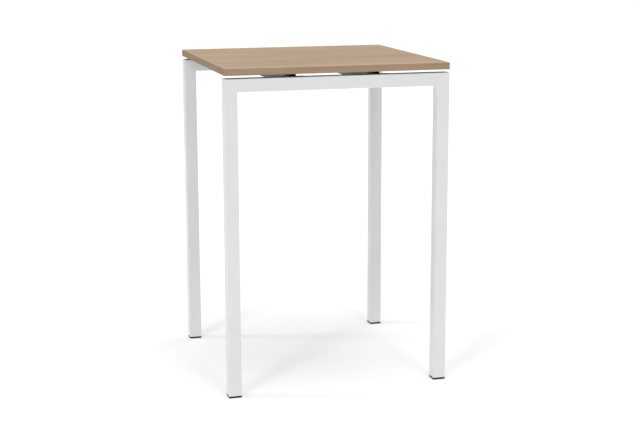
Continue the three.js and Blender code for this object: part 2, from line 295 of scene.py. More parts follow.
def wood_figure_group() -> bpy.types.NodeTree:
    """Makes the group for the printed wood figure, with its grain along X.

    Returns:
        A tree that gives masks for streaks, dark veins, pores and slow tone changes.
    """
    tree = shader_group(
        "wood_figure",
        [("Vector", "NodeSocketVector")],
        [("Streak", NUMBER), ("Vein", NUMBER), ("Pore", NUMBER), ("Tone", NUMBER)],
    )
    wires = Wiring(tree)
    where = wires.add("NodeGroupInput").outputs["Vector"]
    sway = wires.math("SUBTRACT", wires.noise(where, SWAY), SWAY_MIDDLE)
    shift = wires.add("ShaderNodeCombineXYZ", {"Y": wires.math("MULTIPLY", sway, SWAY_REACH)})
    bent = wires.add("ShaderNodeVectorMath", {0: where, 1: shift.outputs[0]}, operation="ADD")
    wavy = bent.outputs[0]
    broad = wires.math("MULTIPLY", wires.noise(wavy, BROAD), BROAD_SHARE)
    narrow = wires.math("MULTIPLY", wires.noise(wavy, NARROW), 1.0 - BROAD_SHARE)
    masks = (
        ("Streak", wires.math("ADD", broad, narrow), BROAD),
        ("Vein", wires.noise(wavy, VEIN), VEIN),
        ("Pore", wires.noise(wavy, PORE), PORE),
        ("Tone", wires.noise(where, TONE), TONE),
    )
    wires.add("NodeGroupOutput", {
        label: wires.remap(pattern, layer.low, layer.high) for label, pattern, layer in masks
    })
    return tree


# Finishes


class SharedGroups:
    """Shader node groups that several finishes place in their materials."""

    def __init__(self) -> None:
        """Builds each group once."""
        self.skin = fine_skin_group()
        self.figure = wood_figure_group()


BlankMaterial = tuple[bpy.types.Material, Wiring, bpy.types.Node, bpy.types.NodeSocket]


def new_material(name: str) -> BlankMaterial:
    """Makes a material with a Principled shader and Object coordinates.

    Args:
        name: The material's name.

    Returns:
        The material, its wiring, the shader, and the coordinates' output.
    """
    material = bpy.data.materials.new(name)
    material.use_nodes = True
    material.node_tree.nodes.clear()
    wires = Wiring(material.node_tree)
    where = wires.add("ShaderNodeTexCoord").outputs["Object"]
    shader = wires.add("ShaderNodeBsdfPrincipled")
    wires.add("ShaderNodeOutputMaterial", {"Surface": shader.outputs[0]})
    return material, wires, shader, where


def rgba(colour: Rgb, shade: float = 1.0) -> list[float]:
    """Gives a colour's four numbers.

    Args:
        colour: Red, green and blue.
        shade: How light it is against that colour.

    Returns:
        The numbers, with full alpha.
    """
    return [*(part * shade for part in colour), 1.0]


def bump(wires: Wiring, shader: bpy.types.Node, height: bpy.types.NodeSocket,
         depth: float) -> None:
    """Feeds a height to the shader's normal.

    Args:
        wires: The material's wiring.
        shader: The shader that gets the bump.
        height: The height, 0 to 1.
        depth: How deep it is, in metres.
    """
    node = wires.add("ShaderNodeBump", {"Strength": 1.0, "Distance": depth, "Height": height})
    wires.feed(shader.inputs["Normal"], node.outputs[0])


GRAIN_TURN = {Run.ALONG_X: 0.0, Run.ALONG_Y: QUARTER_TURN}


@dataclass(frozen=True)
class WoodDecor:
    """Matt melamine print of light wood.

    shade darkens the print and its milled_highlight colour; on the edge bands it is partly a darker
    print and partly painted shade, set by how light falls on each side. Below the height
    shaded_liner_below the board takes its dark shaded_liner, painted shade under the worktop, and
    above milled_highlight_above a band's round, cut by milling, takes milled_highlight, partly the
    milling's own lighter colour and partly a painted highlight along the arris; 0 leaves either one
    out.
    """

    name: str
    run: Run = Run.ALONG_X
    light: Rgb = (0.536, 0.385, 0.250)
    mid: Rgb = (0.382, 0.270, 0.172)
    dark: Rgb = (0.238, 0.163, 0.102)
    blush: Rgb = (0.497, 0.348, 0.230)
    shade: float = 1.0
    tone_share: float = 0.55
    vein_share: float = 0.55
    pore_share: float = 0.28
    pore_depth: float = 0.04 * MM
    pore_roughness: float = 0.14
    roughness: float = 0.48
    specular: float = 0.5
    # A plain dark liner under the board; its darkness is painted shade for the shadow gap under the
    # worktop.
    shaded_liner: Rgb = (0.070, 0.066, 0.062)
    shaded_liner_below: float = 0.0
    # Colour of the round cut by milling, lighter than the decor: partly the milling's own colour
    # and partly a painted highlight along the arris.
    milled_highlight: Rgb = (0.770, 0.590, 0.420)
    milled_highlight_above: float = 0.0

    def material(self, groups: SharedGroups) -> bpy.types.Material:
        """Makes the material.

        Args:
            groups: The shared shader groups.

        Returns:
            The new material.
        """
        material, wires, shader, where = new_material(self.name)
        turn = wires.add("ShaderNodeMapping", {
            "Vector": where, "Rotation": (0.0, 0.0, GRAIN_TURN[self.run])})
        figure = wires.add("ShaderNodeGroup", node_tree=groups.figure)
        wires.feed(figure.inputs["Vector"], turn.outputs[0])
        masks = figure.outputs
        colour = wires.mix(
            masks["Streak"], rgba(self.light, self.shade), rgba(self.mid, self.shade))
        for label, share, over in (
            ("Tone", self.tone_share, self.blush),
            ("Vein", self.vein_share, self.dark),
            ("Pore", self.pore_share, self.dark),
        ):
            factor = wires.math("MULTIPLY", masks[label], share)
            colour = wires.mix(factor, colour, rgba(over, self.shade))
        height = wires.add("ShaderNodeSeparateXYZ", {0: where}).outputs["Z"]
        # Painted shade: below this height the board's underside turns dark.
        if self.shaded_liner_below:
            under = wires.math("LESS_THAN", height, self.shaded_liner_below)
            colour = wires.mix(under, colour, rgba(self.shaded_liner))
        # Painted highlight: above this height the band's round turns lighter than the decor.
        if self.milled_highlight_above:
            cut = wires.math("GREATER_THAN", height, self.milled_highlight_above)
            colour = wires.mix(cut, colour, rgba(self.milled_highlight, self.shade))
        wires.feed(shader.inputs["Base Color"], colour)
        rough = wires.remap(
            masks["Pore"], 0.0, 1.0, self.roughness, self.roughness + self.pore_roughness)
        wires.feed(shader.inputs["Roughness"], rough)
        shader.inputs["Specular IOR Level"].default_value = self.specular
        sunk = wires.math("SUBTRACT", 1.0, masks["Pore"])
        bump(wires, shader, sunk, self.pore_depth)
        return material


@dataclass(frozen=True)
class SkinFinish:
    """A finish of one colour with a fine skin: powder coat, moulded plastic or plated steel.

    Its colour and roughness each change slowly over the surface to a second value.
    """

    name: str
    colour: Rgb
    cloud_colour: Rgb
    roughness: float
    cloud_roughness: float
    grain_per_metre: float = 1400.0
    cloud_per_metre: float = 9.0
    depth: float = 0.03 * MM
    metallic: float = 0.0
    specular: float = 0.5

    def material(self, groups: SharedGroups) -> bpy.types.Material:
        """Makes the material.

        Args:
            groups: The shared shader groups.

        Returns:
            The new material.
        """
        material, wires, shader, where = new_material(self.name)
        skin = wires.add("ShaderNodeGroup", node_tree=groups.skin)
        wires.feed(skin.inputs["Vector"], where)
        skin.inputs["Grain per metre"].default_value = self.grain_per_metre
        skin.inputs["Cloud per metre"].default_value = self.cloud_per_metre
        cloud = skin.outputs["Cloud"]
        colour = wires.mix(cloud, rgba(self.colour), rgba(self.cloud_colour))
        wires.feed(shader.inputs["Base Color"], colour)
        rough = wires.remap(cloud, 0.0, 1.0, self.roughness, self.cloud_roughness)
        wires.feed(shader.inputs["Roughness"], rough)
        shader.inputs["Metallic"].default_value = self.metallic
        shader.inputs["Specular IOR Level"].default_value = self.specular
        bump(wires, shader, skin.outputs["Height"], self.depth)
        return material


# The edge bands are darker than the top: partly a darker print and partly painted shade on their
# upright faces, darker still on the left and right bands as painted shade for how light falls on
# those sides.
EDGE_PRINT_AND_PAINTED_SHADE = {Run.ALONG_X: 0.74, Run.ALONG_Y: 0.60}
# Below this height the top's underside turns dark, painted shade under the worktop.
DECOR_TOP = WoodDecor("oak_decor", shaded_liner_below=1.1252)
DECOR_EDGE = {
    run: WoodDecor(
        f"oak_edge_{run.value}", run,
        # Above this height the bands' arris turns lighter, partly a painted highlight.
        shade=shade, roughness=0.6, specular=0.08, milled_highlight_above=1.1486,
    )
    for run, shade in EDGE_PRINT_AND_PAINTED_SHADE.items()
}
POWDER = SkinFinish(
    "white_powder",
    colour=(0.750, 0.752, 0.752), cloud_colour=(0.730, 0.732, 0.733),
    roughness=0.42, cloud_roughness=0.50, specular=0.25,
)
DARK_POWDER = SkinFinish(
    "black_powder",
    colour=(0.018, 0.018, 0.019), cloud_colour=(0.026, 0.026, 0.027),
    roughness=0.46, cloud_roughness=0.56,
)
PLASTIC = SkinFinish(
    "black_moulding",
    colour=(0.006, 0.006, 0.007), cloud_colour=(0.011, 0.011, 0.012),
    roughness=0.52, cloud_roughness=0.64, specular=0.25,
    grain_per_metre=2600.0, cloud_per_metre=40.0,
)
ZINC = SkinFinish(
    "zinc_plate",
    colour=(0.600, 0.610, 0.625), cloud_colour=(0.500, 0.512, 0.530),
    roughness=0.30, cloud_roughness=0.44,
    grain_per_metre=3000.0, cloud_per_metre=160.0, depth=0.01 * MM, metallic=1.0,
)


class Paint:
    """The materials of the table, each with the record's slot that it stands for."""

    def __init__(self) -> None:
        """Builds every material once."""
        groups = SharedGroups()
        self.top = DECOR_TOP.material(groups)
        self.edge = {run: decor.material(groups) for run, decor in DECOR_EDGE.items()}
        self.powder = POWDER.material(groups)
        self.dark_powder = DARK_POWDER.material(groups)
        self.plastic = PLASTIC.material(groups)
        self.zinc = ZINC.material(groups)
        self.slots = {
            self.top: "wood_decor",
            **{edge: "edge_decor" for edge in self.edge.values()},
            self.powder: "white_powder_coat",
            self.dark_powder: "black_powder_coat",
            self.plastic: "black_plastic",
            self.zinc: "zinc_steel",
        }

    def place(self, piece: bpy.types.Object, body: str, material: bpy.types.Material,
              *nodes: str) -> None:
        """Finishes a new piece, which then rides on a body and stands for nodes.

        Args:
            piece: The piece, at the origin.
            body: The body that carries it.
            material: Its finish.
            *nodes: The nodes that it replaces.
        """
        coat(piece, material)
        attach(piece, body)
        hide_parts(*nodes)
        LOG.info("%s rides on %s for %s", piece.name, body, ", ".join(nodes))


def coat(piece: bpy.types.Object, material: bpy.types.Material) -> None:
    """Gives a piece one finish all over.

    Args:
        piece: The piece.
        material: The finish.
    """
    piece.data.materials.clear()
    piece.data.materials.append(material)


def dress_node(node: str, material: bpy.types.Material) -> None:
    """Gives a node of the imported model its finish.

    Args:
        node: The node's name.
        material: The finish.
    """
    coat(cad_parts[node], material)


# Meshes


def quarter_arc(centre: Point, radius: float, start: int, steps: int) -> list[Point]:
    """Gives the points of a quarter of a circle, anticlockwise.

    Args:
        centre: The circle's middle.
        radius: Its radius.
        start: Where the arc starts, in quarter turns from the first axis.
        steps: Facets of the arc.

    Returns:
        The points, both ends among them.
    """
    turns = [(start + step / steps) * QUARTER_TURN for step in range(steps + 1)]
    return [(centre[0] + radius * math.cos(a), centre[1] + radius * math.sin(a)) for a in turns]


def rounded_outline(width: float, depth: float, radius: float, steps: int = 8) -> list[Point]:
    """Gives the points of a rectangle with round corners, anticlockwise.

    Args:
        width: Its size along the first axis.
        depth: Its size along the second axis.
        radius: The corners' radius.
        steps: Facets of each corner.

    Returns:
        The points.
    """
    across, deep = width / 2 - radius, depth / 2 - radius
    points: list[Point] = []
    for start, (sx, sy) in enumerate(((1, 1), (-1, 1), (-1, -1), (1, -1))):
        points += quarter_arc((sx * across, sy * deep), radius, start, steps)
    return points


def soft_profile(inner: float, outer: float, height: float, radius: float,
                 steps: int) -> list[Point]:
    """Gives a section that is square inside and has both outer corners rounded.

    Args:
        inner: Place of its inner side.
        outer: Place of its outer side.
        height: Its height.
        radius: The corners' radius.
        steps: Facets of each corner.

    Returns:
        The points, from the inner foot round the outside to the inner top.
    """
    reach = outer - radius
    return [
        (inner, 0.0),
        *quarter_arc((reach, radius), radius, -1, steps),
        *quarter_arc((reach, height - radius), radius, 0, steps),
        (inner, height),
    ]


def set_in_scene(name: str, data: bpy.types.ID) -> bpy.types.Object:
    """Makes an object at the origin of the scene.

    Args:
        name: The object's name.
        data: Its mesh, light or camera.

    Returns:
        The new object.
    """
    made = bpy.data.objects.new(name, data)
    bpy.context.scene.collection.objects.link(made)
    return made


def mesh_object(name: str, work: bmesh.types.BMesh,
                sharp_angle: float | None = None) -> bpy.types.Object:
    """Turns a bmesh into an object at the origin.

    Args:
        name: The object's name.
        work: The bmesh, freed here.
        sharp_angle: Faces that meet at less than this many degrees are shaded smooth.

    Returns:
        The new object.
    """
    bmesh.ops.recalc_face_normals(work, faces=work.faces)
    mesh = bpy.data.meshes.new(name)
    work.to_mesh(mesh)
    work.free()
    if sharp_angle is not None:
        mesh.shade_smooth()
        mesh.set_sharp_from_angle(angle=math.radians(sharp_angle))
    return set_in_scene(name, mesh)


def add_rings(work: bmesh.types.BMesh, rings: list[Ring], loop: bool = False) -> None:
    """Adds a skin over rings of points, closed by its end caps or into a loop.

    Args:
        work: The bmesh that gets the faces.
        rings: Rings of the same number of points.
        loop: Whether the last ring joins the first, with no caps.
    """
    rows = [[work.verts.new(point) for point in ring] for ring in rings]
    pairs = list(zip(rows, rows[1:])) + ([(rows[-1], rows[0])] if loop else [])
    for first, second in pairs:
        for k in range(len(first)):
            n = (k + 1) % len(first)
            work.faces.new((first[k], first[n], second[n], second[k]))
    if not loop:
        work.faces.new(rows[0][::-1])
        work.faces.new(rows[-1])


def add_lathe(work: bmesh.types.BMesh, profile: list[Point], centre: Vector, steps: int,
              loop: bool = False) -> None:
    """Adds a turned shape about a vertical axis.

    Args:
        work: The bmesh that gets the faces.
        profile: Radius and height of each ring, from the foot up.
        centre: Where the axis meets height 0.
        steps: Facets of the round.
        loop: Whether the profile closes on itself, round a bore.
    """
    turns = [2 * math.pi * k / steps for k in range(steps)]
    rings = [
        [centre + Vector((r * math.cos(a), r * math.sin(a), z)) for a in turns]
        for r, z in profile
    ]
    add_rings(work, rings, loop)


class NodeBox:
    """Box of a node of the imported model, with its size, its middle and its underside's middle."""

    def __init__(self, node: str) -> None:
        """Measures the node.

        Args:
            node: The node's name.
        """
        self.low, self.high = (Vector(corner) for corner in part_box(node))
        self.size = self.high - self.low
        self.centre = (self.low + self.high) / 2
        self.foot = Vector((self.centre.x, self.centre.y, self.low.z))


# Geometry Nodes


@dataclass(frozen=True)
class ScrewSize:
    """Sizes of a button-head socket screw, in metres."""

    head_radius: float
    head_height: float
    shank_radius: float
    shank_length: float
    socket_radius: float


RAIL_BOLT = ScrewSize(
    head_radius=7.0 * MM, head_height=4.4 * MM,
    shank_radius=4.0 * MM, shank_length=19.0 * MM, socket_radius=2.9 * MM,
)
WORKTOP_SCREW = ScrewSize(
    head_radius=6.0 * MM, head_height=3.5 * MM,
    shank_radius=3.0 * MM, shank_length=64.5 * MM, socket_radius=2.3 * MM,
)


class ButtonScrews:
    """Button-head socket screws, made by one node tree and set where they are needed.

    The head is a straight rim, then a flank up to the shoulder, then a cap up to the crown.
    """

    TURN = "turn"
    RIM_HEIGHT = 0.4
    FLANK_HEIGHT = 0.55
    SHOULDER_RADIUS = 0.92
    CROWN_RADIUS = 0.66
    HEAD_SIDES = 40
    SHANK_SIDES = 24
    SOCKET_SIDES = 6

    def __init__(self, material: bpy.types.Material) -> None:
        """Builds the tree.

        Args:
            material: The screws' finish.
        """
        self.material = material
        self.tree = bpy.data.node_groups.new("button_screws", "GeometryNodeTree")
        face = self.tree.interface
        face.new_socket("Geometry", in_out="INPUT", socket_type="NodeSocketGeometry")
        self.keys = {
            size.name: face.new_socket(size.name, in_out="INPUT", socket_type=NUMBER).identifier
            for size in fields(ScrewSize)
        }
        face.new_socket("Geometry", in_out="OUTPUT", socket_type="NodeSocketGeometry")
        self._wire(Wiring(self.tree))

    def _drum(self, wires: Wiring, sides: int, low: object, top: object, height: object,
              lift: object) -> bpy.types.NodeSocket:
        """Adds a round or many-sided drum that may taper.

        Args:
            wires: The tree's wiring.
            sides: Facets of the round.
            low: Radius at its foot.
            top: Radius at its top.
            height: Its height.
            lift: Height of its foot.

        Returns:
            The drum's geometry.
        """
        drum = wires.add("GeometryNodeMeshCone", {
            "Vertices": sides, "Radius Top": top, "Radius Bottom": low, "Depth": height})
        offset = wires.add("ShaderNodeCombineXYZ", {"Z": lift})
        return wires.add("GeometryNodeTransform", {
            "Geometry": drum.outputs["Mesh"], "Translation": offset.outputs[0]}).outputs[0]

    def _screw(self, wires: Wiring, entry: bpy.types.Node) -> bpy.types.NodeSocket:
        """Adds one screw that stands on its seat, with its head along +Z.

        Args:
            wires: The tree's wiring.
            entry: The tree's input node.

        Returns:
            The screw's geometry.
        """
        head, tall, shank, length, socket = (
            entry.outputs[size.name] for size in fields(ScrewSize))
        rim = wires.math("MULTIPLY", tall, self.RIM_HEIGHT)
        dome = wires.math("SUBTRACT", tall, rim)
        flank = wires.math("MULTIPLY", dome, self.FLANK_HEIGHT)
        cap = wires.math("SUBTRACT", dome, flank)
        shoulder = wires.math("MULTIPLY", head, self.SHOULDER_RADIUS)
        crown = wires.math("MULTIPLY", head, self.CROWN_RADIUS)
        cap_foot = wires.math("ADD", rim, flank)
        tip = wires.math("MULTIPLY", length, -1.0)
        top = self._drum(wires, self.HEAD_SIDES, shoulder, crown, cap, cap_foot)
        pit = self._drum(wires, self.SOCKET_SIDES, socket, socket, tall, cap_foot)
        cut = wires.add("GeometryNodeMeshBoolean", {0: top, 1: pit}, operation="DIFFERENCE")
        join = wires.add("GeometryNodeJoinGeometry")
        for part in (
            self._drum(wires, self.HEAD_SIDES, head, head, rim, 0.0),
            self._drum(wires, self.HEAD_SIDES, head, shoulder, flank, rim),
            cut.outputs[0],
            self._drum(wires, self.SHANK_SIDES, shank, shank, length, tip),
        ):
            wires.feed(join.inputs[0], part)
        return join.outputs[0]

    def _wire(self, wires: Wiring) -> None:
        """Lays out the tree: one screw, set on every point and turned by its attribute.

        Args:
            wires: The tree's wiring.
        """
        entry = wires.add("NodeGroupInput")
        screw = self._screw(wires, entry)
        turn = wires.add(
            "GeometryNodeInputNamedAttribute", {"Name": self.TURN}, data_type="FLOAT_VECTOR")
        spin = wires.add("FunctionNodeEulerToRotation", {0: turn.outputs["Attribute"]})
        spread = wires.add("GeometryNodeInstanceOnPoints", {
            "Points": entry.outputs["Geometry"], "Instance": screw, "Rotation": spin.outputs[0]})
        real = wires.add("GeometryNodeRealizeInstances", {0: spread.outputs[0]})
        plate = wires.add("GeometryNodeSetMaterial", {
            "Geometry": real.outputs[0], "Material": self.material})
        wires.add("NodeGroupOutput", {0: plate.outputs[0]})

    def make(self, name: str, seats: list[Seat], size: ScrewSize) -> bpy.types.Object:
        """Makes one mesh of screws.

        Args:
            name: The piece's name.
            seats: Place of each head's seat, and the turn that points +Z out of the head.
            size: The screws' sizes.

        Returns:
            The piece, a plain mesh at the origin.
        """
        mesh = bpy.data.meshes.new(f"{name}_seats")
        mesh.from_pydata([place for place, _ in seats], [], [])
        turns = mesh.attributes.new(self.TURN, "FLOAT_VECTOR", "POINT")
        for index, (_, turn) in enumerate(seats):
            turns.data[index].vector = turn
        source = set_in_scene(f"{name}_seats", mesh)
        modifier = source.modifiers.new("screws", "NODES")
        modifier.node_group = self.tree
        for key, identifier in self.keys.items():
            modifier[identifier] = getattr(size, key)
        view = bpy.context.evaluated_depsgraph_get()
        made = bpy.data.meshes.new_from_object(source.evaluated_get(view))
        made.name = name
        bpy.data.objects.remove(source)
        return set_in_scene(name, made)


# Sub-assemblies


@dataclass
class Worktop:
    """Panel with four edge bands in the same decor."""

    paint: Paint
    edge_round: float = 1.5 * MM
    edge_steps: int = 8

    def band(self, node: str, run: Run) -> bpy.types.Object:
        """Makes an edge band with both long edges rounded by milling.

        Args:
            node: The node that it stands for.
            run: The way that its length runs.

        Returns:
            The new piece.
        """
        box = NodeBox(node)
        size, foot = box.size, box.foot
        along_x = run is Run.ALONG_X
        length, thick = (size.x, size.y) if along_x else (size.y, size.x)
        outward = math.copysign(1.0, foot.y if along_x else foot.x)
        profile = soft_profile(-thick / 2, thick / 2, size.z, self.edge_round, self.edge_steps)
        rings: list[Ring] = []
        for along in (-length / 2, length / 2):
            if along_x:
                rings.append([foot + Vector((along, outward * out, z)) for out, z in profile])
            else:
                rings.append([foot + Vector((outward * out, along, z)) for out, z in profile])
        work = bmesh.new()
        add_rings(work, rings)
        return mesh_object(f"{node}_milled", work)

    def build(self) -> None:
        """Dresses the panel and makes its bands."""
        dress_node("worktop_panel", self.paint.top)
        for edges, run in ((End, Run.ALONG_X), (Side, Run.ALONG_Y)):
            for edge in edges:
                node = f"edge_band_{edge.value}"
                self.paint.place(self.band(node, run), TABLE_BODY, self.paint.edge[run], node)


@dataclass
class PortalFrame:
    """Two legs and a beam of square tube, welded at ground mitres under one coat."""

    paint: Paint
    end: End
    corner_round: float = 3.0 * MM

    def build(self) -> None:
        """Makes the frame as one continuous skin and replaces its three tubes."""
        label = self.end.value
        legs = [f"{label}_{side.value}_leg" for side in Side]
        beam = f"{label}_beam"
        left, right, head = (NodeBox(node) for node in (*legs, beam))
        tube, top = head.size.y, head.high.z
        outline = rounded_outline(tube, tube, self.corner_round)
        rings: list[Ring] = []
        for leg, side, ends in ((left, -1.0, (False, True)), (right, 1.0, (True, False))):
            for mitred in ends:
                ring: Ring = []
                for across, deep in outline:
                    x, y = leg.centre.x + side * across, leg.centre.y + deep
                    ring.append(Vector((x, y, top - tube / 2 + across if mitred else leg.low.z)))
                rings.append(ring)
        work = bmesh.new()
        add_rings(work, rings)
        piece = mesh_object(f"{label}_portal_frame", work)
        self.paint.place(piece, TABLE_BODY, self.paint.powder, beam, *legs)


@dataclass
class CrossRails:
    """Two rails between the portal frames, with welded flanges, bolts and rivet nuts.

    The weld bead's legs measure bead where a ripple is highest. bead_root is how far the bead
    goes into the rail, and bead_crown how far its outer corner stands out, as a share.
    """

    paint: Paint
    screws: ButtonScrews
    corner_round: float = 3.0 * MM
    bead: float = 2.4 * MM
    bead_root: float = 0.2 * MM
    bead_crown: float = 0.62
    bead_corner_steps: int = 4
    ripple: float = 3.2 * MM
    ripple_steps: int = 4
    ripple_height: float = 0.08
    bolt_marks: str = "ab"

    def rail(self, node: str) -> bpy.types.Object:
        """Makes a rail with a rippled weld bead round each end.

        Args:
            node: The node that it stands for.

        Returns:
            The new piece.
        """
        box = NodeBox(node)
        centre, size = box.centre, box.size
        outline = rounded_outline(size.x, size.z, self.corner_round)
        work = bmesh.new()
        ends = (-size.y / 2, size.y / 2)
        add_rings(work, [[centre + Vector((x, y, z)) for x, z in outline] for y in ends])
        for y in ends:
            add_rings(work, self._bead(centre, size, y), loop=True)
        return mesh_object(f"{node}_welded", work)

    def _path(self, size: Vector) -> list[Point]:
        """Gives the weld's path round a rail, in steps of a ripple's fraction.

        Args:
            size: The rail's size.

        Returns:
            Points along X and Z, from the rail's middle.
        """
        corners = rounded_outline(size.x, size.z, self.corner_round, self.bead_corner_steps)
        path: list[Point] = []
        for (x0, z0), (x1, z1) in zip(corners, [*corners[1:], corners[0]]):
            length = math.hypot(x1 - x0, z1 - z0)
            pieces = max(1, round(length / (self.ripple / self.ripple_steps)))
            for j in range(pieces):
                path.append((x0 + (x1 - x0) * j / pieces, z0 + (z1 - z0) * j / pieces))
        return path

    def _bead(self, centre: Vector, size: Vector, end: float) -> list[Ring]:
        """Gives the rings of a weld bead round one end of a rail.

        Args:
            centre: The rail's middle.
            size: The rail's size.
            end: Place of that end along the rail, from its middle.

        Returns:
            Closed rings, one after the other round the rail.
        """
        path = self._path(size)
        inward = Vector((0.0, -math.copysign(1.0, end), 0.0))
        rings: list[Ring] = []
        for k, (x, z) in enumerate(path):
            (xa, za), (xb, zb) = path[k - 1], path[(k + 1) % len(path)]
            along = Vector((xb - xa, 0.0, zb - za)).normalized()
            out = Vector((along.z, 0.0, -along.x))
            wave = math.sin(2 * math.pi * k / self.ripple_steps)
            leg = self.bead * (1.0 - self.ripple_height + self.ripple_height * wave)
            root = centre + Vector((x, end, z)) - out * self.bead_root
            rings.append([
                root,
                root + out * leg,
                root + (out + inward) * leg * self.bead_crown,
                root + inward * leg,
            ])
        return rings

    def build(self) -> None:
        """Makes the rails and bolts, and dresses the flanges and nuts."""
        for side in Side:
            node = f"{side.value}_cross_rail"
            self.paint.place(self.rail(node), TABLE_BODY, self.paint.dark_powder, node)
        seats: list[Seat] = []
        bolts: list[str] = []
        for corner in Corner:
            flange = f"{corner.label}_rail_flange"
            dress_node(flange, self.paint.dark_powder)
            box = NodeBox(flange)
            rear = corner.end is End.REAR
            face = box.low.y if rear else box.high.y
            turn = Vector((QUARTER_TURN if rear else -QUARTER_TURN, 0.0, 0.0))
            for mark in self.bolt_marks:
                bolt = f"{corner.label}_rail_bolt_{mark}"
                middle = NodeBox(bolt).centre
                seats.append((Vector((middle.x, face, middle.z)), turn))
                bolts.append(bolt)
                dress_node(f"{corner.label}_rivet_nut_{mark}", self.paint.zinc)
        piece = self.screws.make("rail_bolts", seats, RAIL_BOLT)
        self.paint.place(piece, TABLE_BODY, self.paint.zinc, *bolts)


@dataclass
class WorktopFixing:
    """Spacers in the shadow gap, with the screws and inserts that hold the worktop."""

    paint: Paint
    screws: ButtonScrews
    edge: float = 1.0 * MM
    edge_steps: int = 6
    bore: float = 3.5 * MM
    facets: int = 64
    sharp_angle: float = 35.0

    def spacer(self, node: str) -> bpy.types.Object:
        """Makes a round moulded spacer with softened rims and its bore.

        Args:
            node: The node that it stands for.

        Returns:
            The new piece.
        """
        box = NodeBox(node)
        profile = soft_profile(
            self.bore, box.size.x / 2, box.size.z, self.edge, self.edge_steps)
        work = bmesh.new()
        add_lathe(work, profile, box.foot, self.facets, loop=True)
        return mesh_object(f"{node}_moulded", work, self.sharp_angle)

    def build(self) -> None:
        """Makes spacers and screws, and dresses the inserts."""
        seats: list[Seat] = []
        nodes: list[str] = []
        for corner in Corner:
            spacer = f"{corner.label}_spacer"
            self.paint.place(self.spacer(spacer), TABLE_BODY, self.paint.plastic, spacer)
            dress_node(f"{corner.label}_insert_nut", self.paint.zinc)
            screw = f"{corner.label}_worktop_screw"
            middle = NodeBox(screw).centre
            seat = NodeBox(f"{corner.side.value}_cross_rail").low.z
            seats.append((Vector((middle.x, middle.y, seat)), Vector((math.pi, 0.0, 0.0))))
            nodes.append(screw)
        piece = self.screws.make("worktop_screws", seats, WORKTOP_SCREW)
        self.paint.place(piece, TABLE_BODY, self.paint.zinc, *nodes)


